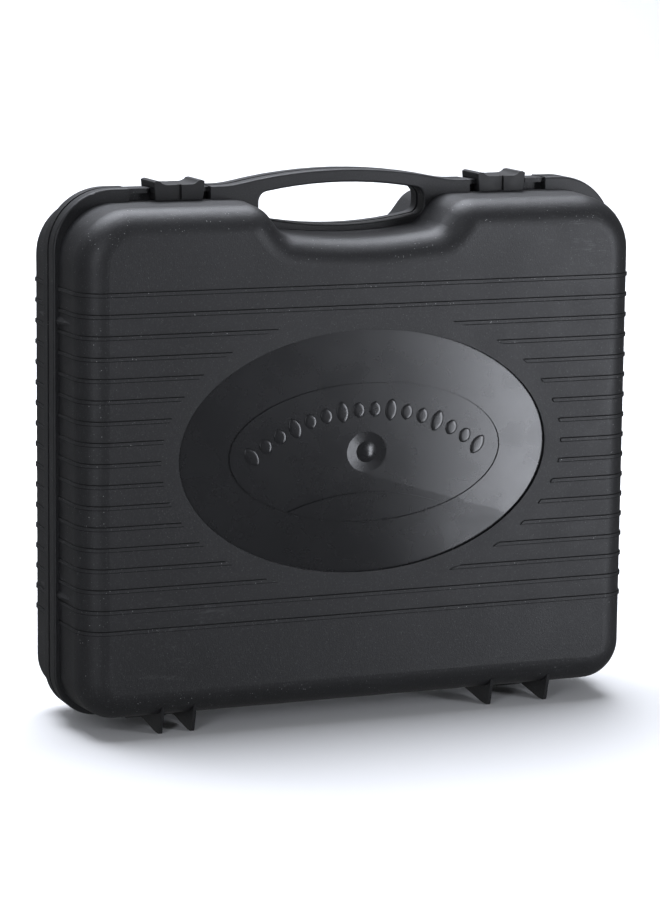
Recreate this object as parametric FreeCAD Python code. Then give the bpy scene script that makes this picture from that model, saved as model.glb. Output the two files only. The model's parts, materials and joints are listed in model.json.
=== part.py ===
"""Camping stove packed in its hard carrying case, in millimetres.

The case stands upright on its fins: X runs left to right, +Y to the back, +Z up, and the floor is Z = 0.
The lid is the front half (-Y) and swings forward on two hinges at the bottom.
The base is the back half (+Y).
The stove lies in the base with its cooking side towards the lid and its control panel towards the handle.
"""
import FreeCAD
import Part

import math
import os

# ---- Case: driving dimensions ----
HALF_WIDTH = 192.5        # body half width at the parting plane
BODY_BOTTOM = 10.2        # underside of the body, one fin height above the floor
BODY_TOP = 338.3          # top of the body at the parting plane
BODY_DEPTH = 55.0         # parting plane to the flat face of each half
WALL = 2.2                # moulded wall thickness
DRAFT = 2.0               # how far each side leans in over the body's depth
CORNER_R = 36.0           # radius of the body's upper corners
FOOT_CORNER_R = 26.0      # radius of the body's lower corners
EDGE_R = 18.0             # rounding between the sides and the flat face
HALF_GAP = 0.25           # half of the gap between the two flanges

FLANGE_DEPTH = 11.0       # each half's flange, measured from the parting plane
FLANGE_LIP = 3.2          # flange overhang at the sides and the bottom
FLANGE_TOP = 346.5        # top edge of the flange, above the body
FLANGE_EDGE_R = 1.4       # rounding of the flange's and the handle's front edges
REBATE = 1.4              # step round the rim where the halves meet, outside and in the finger hole
ARCH_TOP = 355.2          # highest point of the handle
ARCH_R = 342.0            # radius of the handle's top
ARCH_BLEND_R = 60.0       # hollow curve from the handle's top down to the flange
HOLE_HALF = 57.5          # finger hole, half length
HOLE_TOP, HOLE_TOP_R = 346.8, 290.0
HOLE_FLOOR, HOLE_FLOOR_R = 319.3, 260.0
HOLE_END_R = 6.8

NOTCH_SHOULDER, NOTCH_SHOULDER_R = 66.0, 20.0   # half width at the body's top, and its rounding
NOTCH_CORNER, NOTCH_CORNER_R = 50.0, 12.0       # half width at the notch's floor, and its rounding
NOTCH_FLOOR, NOTCH_SAG = 316.0, 4.0

RIB_PITCH, RIB_COUNT = 13.4, 17
RIB_WIDTH, RIB_HEIGHT = 2.2, 0.8
EMBLEM_Z = 177.4          # centre of the oval and of the rib field
EMBLEM_A, EMBLEM_B = 127.5, 79.0
EMBLEM_SINK = 1.8         # step down from the flat face to the oval's rim
EMBLEM_CROWN = 2.0        # how far the oval's crown stands past the flat face
EMBLEM_WALL = 3.0         # thickness at the crown's middle
RIB_CLEAR = 11.7          # plain margin between the oval and the ribs' ends
INNER_A, INNER_B = 94.0, 45.2
GROOVE, GROOVE_DEPTH = 1.4, 0.8           # engraved lines in the oval
SWOOSH_TOP, SWOOSH_R = 151.5, 149.6
DIMPLE_R, DIMPLE_DEPTH = 110.0, 0.9       # hollow round the boss: its sphere and its depth
BOSS_R, BOSS_RISE, BOSS_PROUD = 8.8, 2.6, 0.9

# ---- Case: hinges, fins and latches ----
HINGE_X = 127.0
HINGE_Z = 4.4
KNUCKLE_R = 4.0
PIN_R = 1.5
PIN_PLAY = 0.05
RELIEF_R = 4.5            # clearance round the knuckles of the other half
HINGE_HALF = 17.0         # half length of a hinge
LID_KNUCKLE_HALF = 8.5
LEAF = 0.4                # gap between neighbouring knuckles
LID_FINS = (-136.2, -114.5, 94.5, 135.7)
BASE_FINS = (-129.7, -108.0, 101.0, 142.2)
FIN_THICK = 2.2
FIN_HIGH, FIN_FRONT = 18.5, 51.6          # where a fin's front edge meets the body
FIN_TIP, FIN_TIP_FLAT, FIN_TIP_R = 46.5, 8.0, 2.5
FIN_REAR, FIN_REAR_Z = 10.0, 3.9          # lower rear corner of a fin
TAB_HEIGHTS = (88.0, 264.5)
TAB_HALF, TAB_REACH = 5.6, 36.0

RECESS_IN, RECESS_OUT = 90.5, 145.5       # inner and outer end of a latch recess
RAIL_HALF, RAIL_HEAD = 3.5, 8.0           # rail stem and head, half widths
RAIL_HEAD_Z, RAIL_TOP = 343.0, 346.0
SLIDER_IN, SLIDER_LENGTH = 96.5, 32.0     # inner end of the slider at rest, and its length
SLIDER_HALF, SLIDER_SKIRT = 13.0, 3.0
SLIDER_EAR, SLIDER_DIP = 351.0, 348.3
STUB_START = SLIDER_IN + SLIDER_LENGTH + 1.3

# ---- Stove: driving dimensions ----
STOVE_X = 168.0           # half width
STOVE_Z0, STOVE_Z1 = 26.0, 290.0          # rear wall and control panel
STOVE_TOP, STOVE_UNDER = -30.0, 48.0      # top panel and underside
SHEET = 1.0               # pressed steel
STOVE_CORNER_R = 12.0
BURNER_X, BURNER_Z = 50.0, 154.0
CARTRIDGE_X, CARTRIDGE_Y = -118.0, 8.0
CARTRIDGE_R = 34.0
STEM_X = -104.0
LEVER_X, LEVER_TRAVEL = -55.0, 18.0
TUBE_Z = 262.0            # height of the mixing tube's first run
TUBE_R, TUBE_WALL = 7.0, 1.0
COVER_PIN_X, COVER_PIN_Y = -165.0, -32.6   # hinge line of the cartridge cover
COVER_PIN_R = 1.05
CLAMP_TRAVEL = 8.0
RAMP_Y0, RAMP_Y1, RAMP_LOW = 4.0, 26.0, 271.5   # the lever's ramp: rises by CLAMP_TRAVEL per LEVER_TRAVEL
FOLLOWER_Y, FOLLOWER_R = 24.0, 1.5
SPRING_X, SPRING_Y, SPRING_Z0, SPRING_Z1 = -56.0, 41.0, 236.0, 262.0
SPRING_R, SPRING_WIRE = 3.0, 0.5
IGNITER_X, IGNITER_Y = -86.5, 30.0
KNOB_TURN = 115.0
LEAD_HOLE = (37.0, 209.0)

TOL = 1e-6


def vec(x, y, z):
    return FreeCAD.Vector(x, y, z)


def box(x0, x1, y0, y1, z0, z1):
    return Part.makeBox(x1 - x0, y1 - y0, z1 - z0, vec(x0, y0, z0))


def rod(radius, start, end):
    axis = end - start
    return Part.makeCylinder(radius, axis.Length, start, axis)


def ring(outer, inner, start, end):
    return rod(outer, start, end).cut(rod(inner, start, end))


def face_of(edges):
    return Part.Face(Part.Wire(Part.__sortEdges__(edges)))


def polygon(points):
    return Part.Face(Part.makePolygon(points + [points[0]]))


def join(first, *others):
    return first.fuse(list(others)).removeSplitter()


def mirrored_y(shape):
    return shape.mirror(vec(0, 0, 0), vec(0, 1, 0))


def mirrored_x(shape):
    return shape.mirror(vec(0, 0, 0), vec(1, 0, 0))


def line(a, b):
    return Part.LineSegment(a, b).toShape()


def arc(a, b, c):
    return Part.Arc(a, b, c).toShape()


def rounded_outline(x0, x1, z0, z1, radius, y, foot_radius=None):
    """Edges of a round-cornered rectangle in the plane Y = y. foot_radius is for the lower corners."""
    low = foot_radius or radius
    k = radius * (1 - math.sqrt(0.5))
    j = low * (1 - math.sqrt(0.5))
    return [
        line(vec(x0 + low, y, z0), vec(x1 - low, y, z0)),
        arc(vec(x1 - low, y, z0), vec(x1 - j, y, z0 + j), vec(x1, y, z0 + low)),
        line(vec(x1, y, z0 + low), vec(x1, y, z1 - radius)),
        arc(vec(x1, y, z1 - radius), vec(x1 - k, y, z1 - k), vec(x1 - radius, y, z1)),
        line(vec(x1 - radius, y, z1), vec(x0 + radius, y, z1)),
        arc(vec(x0 + radius, y, z1), vec(x0 + k, y, z1 - k), vec(x0, y, z1 - radius)),
        line(vec(x0, y, z1 - radius), vec(x0, y, z0 + low)),
        arc(vec(x0, y, z0 + low), vec(x0 + j, y, z0 + j), vec(x0 + low, y, z0)),
    ]


def edges_in_plane(shape, y):
    return [e for e in shape.Edges if abs(e.BoundBox.YMin - y) < 0.01 and abs(e.BoundBox.YMax - y) < 0.01]


def edges_along_y(shape, length):
    found = []
    for e in shape.Edges:
        b = e.BoundBox
        if b.XLength < 0.01 and b.ZLength < 0.01 and b.YLength > length:
            found.append(e)
    return found


def oval(a, b, y0, y1):
    """An elliptical prism along Y, centred on the oval emblem."""
    centre = vec(0, y0, EMBLEM_Z)
    curve = Part.Ellipse(centre + vec(a, 0, 0), centre + vec(0, 0, b), centre)
    return face_of([curve.toShape()]).extrude(vec(0, y1 - y0, 0))


# ---- Case halves, drawn as the lid; the base is mirrored front to back ----
def body_outline(inset, y):
    """Outline of the body at depth y, moved in by inset, with the finger notch in its top edge."""
    share = -y / BODY_DEPTH
    lean = inset + DRAFT * share
    left, right = -HALF_WIDTH + lean, HALF_WIDTH - lean
    top = BODY_TOP - lean
    corner, foot_corner = CORNER_R - inset, FOOT_CORNER_R - inset
    outline = rounded_outline(left, right, BODY_BOTTOM + lean, top, corner, y, foot_corner)
    wide, low = NOTCH_SHOULDER + 3 * share + 0.4 * inset, NOTCH_CORNER + 5 * share + 0.8 * inset
    floor = NOTCH_FLOOR - 3 * share - inset
    shoulder, corner = vec(wide, y, top), vec(low, y, floor + NOTCH_SAG)
    flip = lambda p: vec(-p.x, y, p.z)
    edge = vec(right - CORNER_R + inset, y, top)
    notch = [
        line(edge, shoulder), line(shoulder, corner), arc(corner, vec(0, y, floor), flip(corner)),
        line(flip(corner), flip(shoulder)), line(flip(shoulder), flip(edge)),
    ]
    return Part.Wire(outline[:4] + notch + outline[5:])


def body_block(inset):
    """Solid body of a half, moved in by inset on every outside face, with a rounded flat face."""
    depth = BODY_DEPTH - inset
    block = Part.makeLoft([body_outline(inset, 0), body_outline(inset, -depth)], True, True)
    shoulders, corners = [], []
    for e in block.Edges:
        b = e.BoundBox
        if b.YLength > depth - 1 and abs(b.Center.x) < NOTCH_SHOULDER + 10:
            (shoulders if b.ZMax > BODY_TOP - inset - 1 else corners).append(e)
    block = block.makeFillet(NOTCH_CORNER_R + inset, corners)
    again = [e for e in block.Edges if is_shoulder(e, inset)]
    block = block.makeFillet(NOTCH_SHOULDER_R - inset, again)
    return block.makeFillet(EDGE_R - inset, edges_in_plane(block, -depth))


def is_shoulder(edge, inset):
    """True for the edges along Y where the notch's sides meet the body's top."""
    b = edge.BoundBox
    near = NOTCH_SHOULDER - 3 < abs(b.Center.x) < NOTCH_SHOULDER + 8
    return near and b.YLength > BODY_DEPTH - inset - 1 and b.ZMax > BODY_TOP - inset - 1


def flange_outline(inset):
    """Outside of the flange and the handle in the plane Y = 0, moved in by inset."""
    x1 = HALF_WIDTH + FLANGE_LIP - inset
    z0 = BODY_BOTTOM - FLANGE_LIP + inset
    z1 = FLANGE_TOP - inset
    corner = CORNER_R + FLANGE_LIP - inset
    sides = rounded_outline(-x1, x1, z0, z1, corner, 0, FOOT_CORNER_R + FLANGE_LIP - inset)
    arch_r, blend_r = ARCH_R - inset, ARCH_BLEND_R + inset
    arch_z = ARCH_TOP - ARCH_R
    rise = z1 + blend_r - arch_z
    blend_x = math.sqrt((arch_r + blend_r) ** 2 - rise**2)
    share = arch_r / (arch_r + blend_r)
    meet = vec(blend_x * share, 0, arch_z + rise * share)
    half_turn = math.atan2(blend_x, rise) / 2
    middle = vec(blend_x - blend_r * math.sin(half_turn), 0, z1 + blend_r * (1 - math.cos(half_turn)))
    flip = lambda p: vec(-p.x, p.y, p.z)
    foot = vec(blend_x, 0, z1)
    top = [
        line(vec(x1 - corner, 0, z1), foot),
        arc(foot, middle, meet),
        arc(meet, vec(0, 0, arch_z + arch_r), flip(meet)),
        arc(flip(meet), flip(middle), flip(foot)),
        line(flip(foot), vec(-x1 + corner, 0, z1)),
    ]
    return face_of(sides[:4] + top + sides[5:])


def finger_hole(grow):
    """The finger hole through both halves, grown by grow on every side."""
    far = 20
    centre_z = HOLE_TOP - HOLE_TOP_R
    upper = rod(HOLE_TOP_R + grow, vec(0, -far, centre_z), vec(0, far, centre_z))
    centre_z = HOLE_FLOOR + HOLE_FLOOR_R
    lower = rod(HOLE_FLOOR_R + grow, vec(0, -far, centre_z), vec(0, far, centre_z))
    span = HOLE_HALF + grow
    lens = upper.common(lower).common(box(-span, span, -far, far, HOLE_FLOOR - 10, HOLE_TOP + 10))
    return lens.makeFillet(HOLE_END_R + grow, edges_along_y(lens, far))


def latch_recesses(grow):
    """Gaps in the flange for the two latch sliders, grown by grow."""
    right = box(RECESS_IN - grow, RECESS_OUT + grow, -20, 20, BODY_TOP - grow, ARCH_TOP + 20)
    return [right, mirrored_x(right)]


def face_ribs(clear_oval):
    """Slices of a slightly larger body: they leave raised ribs round the outside of a half."""
    slabs = []
    for n in range(RIB_COUNT):
        z = EMBLEM_Z + (n - (RIB_COUNT - 1) / 2) * RIB_PITCH
        slabs.append(box(-250, 250, -100, -FLANGE_DEPTH, z - RIB_WIDTH / 2, z + RIB_WIDTH / 2))
    ribs = body_block(-RIB_HEIGHT).common(Part.makeCompound(slabs))
    if clear_oval:
        ribs = ribs.cut(oval(EMBLEM_A + RIB_CLEAR, EMBLEM_B + RIB_CLEAR, -100, -BODY_DEPTH))
    return ribs


def crown(depth):
    """Shallow dome of the oval, depth below its surface: a spherical cap stretched in width."""
    sag = EMBLEM_SINK + EMBLEM_CROWN
    radius = (EMBLEM_B**2 + sag**2) / (2 * sag)
    top = -BODY_DEPTH - EMBLEM_CROWN + depth
    reach = EMBLEM_B + 3
    half = reach / 2
    drop = lambda r: radius - math.sqrt(radius**2 - r**2)
    floor = top + sag + 5
    profile = face_of([
        arc(vec(0, top, 0), vec(half, top + drop(half), 0), vec(reach, top + drop(reach), 0)),
        line(vec(reach, top + drop(reach), 0), vec(reach, floor, 0)),
        line(vec(reach, floor, 0), vec(0, floor, 0)),
        line(vec(0, floor, 0), vec(0, top, 0)),
    ])
    cap = profile.revolve(vec(0, 0, 0), vec(0, 1, 0), 360)
    stretch = FreeCAD.Matrix()
    stretch.scale(vec(EMBLEM_A / EMBLEM_B, 1, 1))
    cap = cap.transformGeometry(stretch)
    cap.translate(vec(0, 0, EMBLEM_Z))
    return cap


def add_emblem(body):
    """Sinks the oval, crowns it and engraves its lines, and puts the round boss at its centre."""
    far = -BODY_DEPTH - 10
    rim = -BODY_DEPTH + EMBLEM_SINK
    top = -BODY_DEPTH - EMBLEM_CROWN
    sunk = body.cut(oval(EMBLEM_A, EMBLEM_B, far, rim))
    raised = join(sunk, crown(0).common(oval(EMBLEM_A, EMBLEM_B, far, rim + 0.3)))
    half = GROOVE / 2
    loop = oval(INNER_A + half, INNER_B + half, far, 0).cut(oval(INNER_A - half, INNER_B - half, far, 0))
    centre_z = SWOOSH_TOP - SWOOSH_R
    swoosh = ring(SWOOSH_R + half, SWOOSH_R - half, vec(0, far, centre_z), vec(0, 0, centre_z))
    swoosh = swoosh.common(oval(INNER_A, INNER_B, far, 0))
    bed = crown(GROOVE_DEPTH)
    dimple = Part.makeSphere(DIMPLE_R, vec(0, top + DIMPLE_DEPTH - DIMPLE_R, EMBLEM_Z))
    ball_r = (BOSS_R**2 + BOSS_RISE**2) / (2 * BOSS_RISE)
    boss = Part.makeSphere(ball_r, vec(0, top - BOSS_PROUD + ball_r, EMBLEM_Z))
    boss = boss.common(rod(BOSS_R, vec(0, far, EMBLEM_Z), vec(0, top + DIMPLE_DEPTH + 0.5, EMBLEM_Z)))
    return join(raised.cut(loop.cut(bed)).cut(swoosh.cut(bed)).cut(dimple), boss)


def fin(x):
    """A foot fin under the body: steep in front, sloping up gently to the flange."""
    points = [
        vec(0, -FIN_FRONT, FIN_HIGH), vec(0, -FIN_TIP, 0), vec(0, -FIN_TIP + FIN_TIP_FLAT, 0),
        vec(0, -FIN_REAR, FIN_REAR_Z), vec(0, -FIN_REAR, FIN_HIGH - 4),
    ]
    plate = polygon(points).extrude(vec(FIN_THICK, 0, 0))
    tips = [e for e in plate.Edges if e.BoundBox.XLength > 1 and e.BoundBox.ZMax < 0.01]
    plate = plate.makeFillet(FIN_TIP_R, tips)
    plate.translate(vec(x - FIN_THICK / 2, 0, 0))
    return plate


def hinge_spans(lid):
    """Where a half has knuckles along X, for both hinges."""
    inner = (-LID_KNUCKLE_HALF, LID_KNUCKLE_HALF)
    edge = LID_KNUCKLE_HALF + LEAF
    local = [inner] if lid else [(-HINGE_HALF, -edge), (edge, HINGE_HALF)]
    return [(side * HINGE_X + a, side * HINGE_X + b) for side in (-1, 1) for a, b in local]


def knuckle(x0, x1):
    """A hinge knuckle with the web that ties it to the flange of the front half."""
    barrel = rod(KNUCKLE_R, vec(x0, 0, HINGE_Z), vec(x1, 0, HINGE_Z))
    web = box(x0, x1, -7.5, 0, HINGE_Z - 2.4, BODY_BOTTOM - FLANGE_LIP + 1)
    return join(barrel, web)


def hinge_rods(radius, over):
    """A cylinder on each hinge's axis, longer than the hinge by over at each end."""
    half = HINGE_HALF + over
    middles = (-HINGE_X, HINGE_X)
    return [rod(radius, vec(x - half, 0, HINGE_Z), vec(x + half, 0, HINGE_Z)) for x in middles]


def pyramid(a, b, c, tip):
    """Solid with the triangle a, b, c as its base."""
    sides = [polygon([a, b, tip]), polygon([b, c, tip]), polygon([c, a, tip])]
    solid = Part.Solid(Part.Shell([polygon([a, b, c])] + sides))
    return solid if solid.Volume > 0 else solid.reversed()


def side_tabs():
    """Small three-sided wedges that tie the flange to the body's sides."""
    tabs = []
    rear = -FLANGE_DEPTH + 1.5
    inside, tip = HALF_WIDTH - 1.6, HALF_WIDTH + FLANGE_LIP - 1
    for z in TAB_HEIGHTS:
        low, high = vec(inside, rear, z - TAB_HALF), vec(inside, rear, z + TAB_HALF)
        tab = pyramid(low, high, vec(inside, -TAB_REACH, z), vec(tip, rear, z))
        tabs += [tab, mirrored_x(tab)]
    return tabs


def half_shell(lid):
    """One moulded half of the case, drawn on the -Y side."""
    body = join(body_block(0), *face_ribs(lid).Solids)
    if lid:
        body = add_emblem(body)
    flange = flange_outline(0).extrude(vec(0, -FLANGE_DEPTH, 0)).cut(finger_hole(0))
    flange = flange.makeFillet(FLANGE_EDGE_R, edges_in_plane(flange, -FLANGE_DEPTH))
    flange = flange.cut(latch_recesses(0))
    fins = [fin(x) for x in (LID_FINS if lid else BASE_FINS)]
    body = join(body, flange, *fins, *side_tabs())

    hollow = body_block(WALL)
    if lid:
        back = -BODY_DEPTH + WALL
        hollow = hollow.cut(oval(EMBLEM_A + WALL, EMBLEM_B + WALL, back - 5, back + EMBLEM_SINK))
        dome = crown(EMBLEM_WALL).common(oval(EMBLEM_A, EMBLEM_B, back - 5, back + EMBLEM_SINK + 0.3))
        hollow = join(hollow, dome)
    channel = flange_outline(WALL).extrude(vec(0, -FLANGE_DEPTH + WALL, 0)).cut(finger_hole(WALL))
    channel = channel.cut(latch_recesses(WALL))
    seam = box(-300, 300, -REBATE, 5, -50, 400)
    around = flange_outline(-5).extrude(vec(0, -5, 0)).cut(flange_outline(REBATE).extrude(vec(0, -5, 0)))
    beyond = box(-300, 300, -HALF_GAP, 50, -50, 400)
    body = body.cut([hollow, channel, finger_hole(REBATE).common(seam), around.common(seam), beyond])
    body = body.cut(hinge_rods(RELIEF_R, 0.5))
    knuckles = [knuckle(a, b) for a, b in hinge_spans(lid)]
    return join(body, *knuckles).cut(hinge_rods(PIN_R + PIN_PLAY, 1))


def t_rail(x0, x1, y0, y1, foot):
    """A rail of T section: a stem from foot up and a wider head, between the depth planes y0 and y1."""
    stem = box(x0, x1, max(y0, -RAIL_HALF), min(y1, RAIL_HALF), foot, RAIL_TOP)
    head = box(x0, x1, max(y0, -RAIL_HEAD), min(y1, RAIL_HEAD), RAIL_HEAD_Z, RAIL_TOP)
    return join(stem, head)


def lid_rail():
    """Short rail at the recess's outer end. The slider's front skirt passes in front of it to lock."""
    rail = t_rail(STUB_START, RECESS_OUT + 1, -RAIL_HEAD, -HALF_GAP, BODY_TOP - 1)
    tip = []
    for e in rail.Edges:
        b = e.BoundBox
        if abs(b.XMax - STUB_START) < TOL and abs(b.YMax + RAIL_HEAD) < TOL and b.ZLength > 1:
            tip.append(e)
    return rail.makeChamfer(2.0, tip)


def base_rail():
    """The slider's own rail on the base: across the parting plane at first, behind it further out."""
    wide = t_rail(RECESS_IN + 0.4, STUB_START - 0.5, -RAIL_HEAD, RAIL_HEAD, BODY_TOP + 0.4)
    behind = t_rail(RECESS_IN - 1, RECESS_OUT + 1, HALF_GAP, RAIL_HEAD, BODY_TOP - 1)
    return join(wide, behind)


def stove_stops():
    """Ribs inside the base that hold the stove in place."""
    stops = []
    for z in (60, 154, 240):
        stop = box(STOVE_X + 0.6, HALF_WIDTH, 22, BODY_DEPTH, z - 1, z + 1)
        stops += [stop, mirrored_x(stop)]
    for x in (-140, 140):
        stops.append(box(x - 1, x + 1, 22, BODY_DEPTH, STOVE_Z1 + 0.6, BODY_TOP - 4))
        stops.append(box(x - 1, x + 1, 22, BODY_DEPTH, BODY_BOTTOM + 1, STOVE_Z0 - 0.6))
    room = mirrored_y(body_block(WALL / 2))
    return [stop.common(room) for stop in stops]


def case_lid_shell():
    rail = lid_rail()
    return join(half_shell(True), rail, mirrored_x(rail))


def case_base_shell():
    rail = base_rail()
    return join(mirrored_y(half_shell(False)), rail, mirrored_x(rail), *stove_stops())


def hinge_pin(side):
    end = HINGE_HALF - 0.3
    return rod(PIN_R, vec(side * HINGE_X - end, 0, HINGE_Z), vec(side * HINGE_X + end, 0, HINGE_Z))


def latch_slider(side):
    """Saddle-shaped slider that runs on the rails of both halves."""
    x0, x1 = SLIDER_IN, SLIDER_IN + SLIDER_LENGTH
    middle = (x0 + x1) / 2
    foot = BODY_TOP + 0.4
    under = RAIL_TOP + 0.5
    flare = 1.2
    ear = SLIDER_EAR - 0.9
    end, run = 3.0, 8.0
    rise = SLIDER_EAR - 0.4 - SLIDER_DIP
    bend_r = ((run - end) ** 2 + rise**2) / (2 * rise)
    half_turn = math.asin((run - end) / bend_r) / 2
    side_step, up_step = bend_r * math.sin(half_turn), bend_r * (1 - math.cos(half_turn))
    inner_end, inner_low = vec(x0 + end, 0, SLIDER_DIP + rise), vec(x0 + run, 0, SLIDER_DIP)
    outer_end, outer_low = vec(x1 - end, 0, SLIDER_DIP + rise), vec(x1 - run, 0, SLIDER_DIP)
    saddle = face_of([
        line(vec(x0, 0, foot), vec(x1, 0, foot)),
        line(vec(x1, 0, foot), vec(x1 + flare, 0, ear)),
        line(vec(x1 + flare, 0, ear), vec(x1 - 0.8, 0, SLIDER_EAR)),
        line(vec(x1 - 0.8, 0, SLIDER_EAR), outer_end),
        arc(outer_end, vec(x1 - run + side_step, 0, SLIDER_DIP + up_step), outer_low),
        line(outer_low, inner_low),
        arc(inner_low, vec(x0 + run - side_step, 0, SLIDER_DIP + up_step), inner_end),
        line(inner_end, vec(x0 + 0.8, 0, SLIDER_EAR)),
        line(vec(x0 + 0.8, 0, SLIDER_EAR), vec(x0 - flare, 0, ear)),
        line(vec(x0 - flare, 0, ear), vec(x0, 0, foot)),
    ])
    block = saddle.extrude(vec(0, 2 * SLIDER_HALF, 0))
    block.translate(vec(0, -SLIDER_HALF, 0))
    tips = [e for e in edges_along_y(block, SLIDER_HALF) if e.BoundBox.ZMin > ear - 0.1]
    block = block.makeFillet(0.7, tips)
    rims = []
    for e in block.Edges:
        b = e.BoundBox
        if abs(abs(b.Center.y) - SLIDER_HALF) < 0.01 and b.YLength < 0.01 and b.ZMin > SLIDER_DIP - 1:
            rims.append(e)
    block = block.makeFillet(0.5, rims)
    inner = SLIDER_HALF - SLIDER_SKIRT
    tunnel = box(x0 - 5, x1 + 5, -inner, inner, RAIL_HEAD_Z - 0.6, under)
    slot = box(x0 - 5, x1 + 5, -RAIL_HALF - 0.6, RAIL_HALF + 0.6, foot - 1, under)
    groove = box(middle - 1.5, middle + 1.5, -SLIDER_HALF - 1, -SLIDER_HALF + 1.3, foot - 1, SLIDER_EAR)
    slider = block.cut([tunnel, slot, groove, mirrored_y(groove)])
    return slider if side > 0 else mirrored_x(slider)


# ---- Stove ----
def stove_housing():
    """Pressed steel body: side walls and top frame, open below, at the top plate and at the cartridge."""
    z0, z1 = STOVE_Z0, STOVE_Z1
    outer = face_of(rounded_outline(-STOVE_X, STOVE_X, z0, z1, STOVE_CORNER_R, STOVE_TOP))
    outer = outer.extrude(vec(0, STOVE_UNDER - STOVE_TOP, 0))
    half, y = STOVE_X - SHEET, STOVE_TOP + SHEET
    inner = face_of(rounded_outline(-half, half, z0 + SHEET, z1 - SHEET, STOVE_CORNER_R - SHEET, y))
    inner = inner.extrude(vec(0, 100, 0))
    windows = [
        box(-62, 158, STOVE_TOP - 5, STOVE_TOP + 5, 30, 278),
        box(-160, -78, STOVE_TOP - 5, STOVE_TOP + 5, 40, 278),
        rod(6, vec(STEM_X, CARTRIDGE_Y, z1 - 3), vec(STEM_X, CARTRIDGE_Y, z1 + 3)),
        box(LEVER_X - 2.6, LEVER_X + 2.6, -7, 7 + LEVER_TRAVEL + 1, z1 - 3, z1 + 3),
    ]
    for n in range(7):
        y = 0 + n * 5
        windows.append(box(-STOVE_X - 2, -STOVE_X + 3, y, y + 2.4, 120, 210))
        windows.append(box(STOVE_X - 3, STOVE_X + 2, y, y + 2.4, 90, 220))
    lugs = [hinge_eye(z, z + 10, STOVE_TOP + SHEET / 2) for z in (82, 228)]
    return join(outer.cut([inner] + windows), *lugs).cut(cover_axis(COVER_PIN_R + PIN_PLAY, 50, 270))


def cover_axis(radius, z0, z1):
    """A cylinder on the cartridge cover's hinge line."""
    return rod(radius, vec(COVER_PIN_X, COVER_PIN_Y, z0), vec(COVER_PIN_X, COVER_PIN_Y, z1))


def hinge_eye(z0, z1, foot_y):
    """Rolled eye of the cover's hinge with a tab down to foot_y."""
    tab = box(COVER_PIN_X - 1, COVER_PIN_X + 1, COVER_PIN_Y, foot_y, z0, z1)
    return join(cover_axis(2.2, z0, z1), tab)


def top_plate():
    """Enamelled plate with a round dish for the pan support and a hole for the burner."""
    y0 = STOVE_TOP - SHEET
    plate = face_of(rounded_outline(-70, STOVE_X - 2, STOVE_Z0 + 2, STOVE_Z1 - 4, 10, y0))
    plate = plate.extrude(vec(0, SHEET, 0))
    r_out, r_mid, r_hole, deep = 104.0, 92.0, 40.0, 9.0
    profile = [
        (r_out, y0), (r_out, y0 + SHEET), (r_out - 2, y0 + SHEET), (r_mid, y0 + deep + SHEET),
        (r_hole + 6, y0 + deep + SHEET), (r_hole, y0 + deep - 4), (r_hole, y0 + deep - 4 - SHEET),
        (r_hole + 1, y0 + deep - 4 - SHEET), (r_hole + 7, y0 + deep),
        (r_mid - 0.6, y0 + deep), (r_out - 2.6, y0),
    ]
    section = polygon([vec(BURNER_X + r, y, BURNER_Z) for r, y in profile])
    dish = section.revolve(vec(BURNER_X, 0, BURNER_Z), vec(0, 1, 0), 360)
    mouth = rod(r_out - 1, vec(BURNER_X, y0 - 5, BURNER_Z), vec(BURNER_X, y0 + 5, BURNER_Z))
    return join(plate.cut(mouth), dish)


def pan_support():
    """Cast ring with four arms, stored with its arms down in the dish."""
    y_top = STOVE_TOP - 7
    centre = vec(BURNER_X, y_top, BURNER_Z)
    hoop = ring(99, 92, centre, centre + vec(0, 4, 0))
    arms = []
    for turn in range(4):
        angle = 45 + 90 * turn
        arm = polygon([
            vec(96, y_top, 0), vec(96, y_top + 4, 0), vec(84, y_top + 15, 0),
            vec(52, y_top + 15, 0), vec(46, y_top, 0),
        ]).extrude(vec(0, 0, 5))
        arm.translate(vec(0, 0, -2.5))
        arm.rotate(vec(0, 0, 0), vec(0, 1, 0), angle)
        arm.translate(vec(BURNER_X, 0, BURNER_Z))
        arms.append(arm)
    inner = ring(52, 47, centre, centre + vec(0, 4, 0))
    return join(hoop, inner, *arms)


def burner_body():
    """Cast burner with a mixing chamber and a side inlet for the mixing tube."""
    y0 = -26.0
    cup = rod(33, vec(BURNER_X, y0, BURNER_Z), vec(BURNER_X, y0 + 9, BURNER_Z))
    bowl = rod(30, vec(BURNER_X, y0 - 1, BURNER_Z), vec(BURNER_X, y0 + 6, BURNER_Z))
    neck = rod(15, vec(BURNER_X, y0 + 8, BURNER_Z), vec(BURNER_X, 20, BURNER_Z))
    bore = rod(12, vec(BURNER_X, y0, BURNER_Z), vec(BURNER_X, 17, BURNER_Z))
    inlet = rod(10, vec(BURNER_X, 8, BURNER_Z), vec(BURNER_X, 8, BURNER_Z + 26))
    feed = rod(TUBE_R - TUBE_WALL, vec(BURNER_X, 8, BURNER_Z), vec(BURNER_X, 8, BURNER_Z + 30))
    socket = rod(TUBE_R, vec(BURNER_X, 8, BURNER_Z + 18), vec(BURNER_X, 8, BURNER_Z + 30))
    return join(cup, neck, inlet).cut([bowl, bore, feed, socket])


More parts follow.
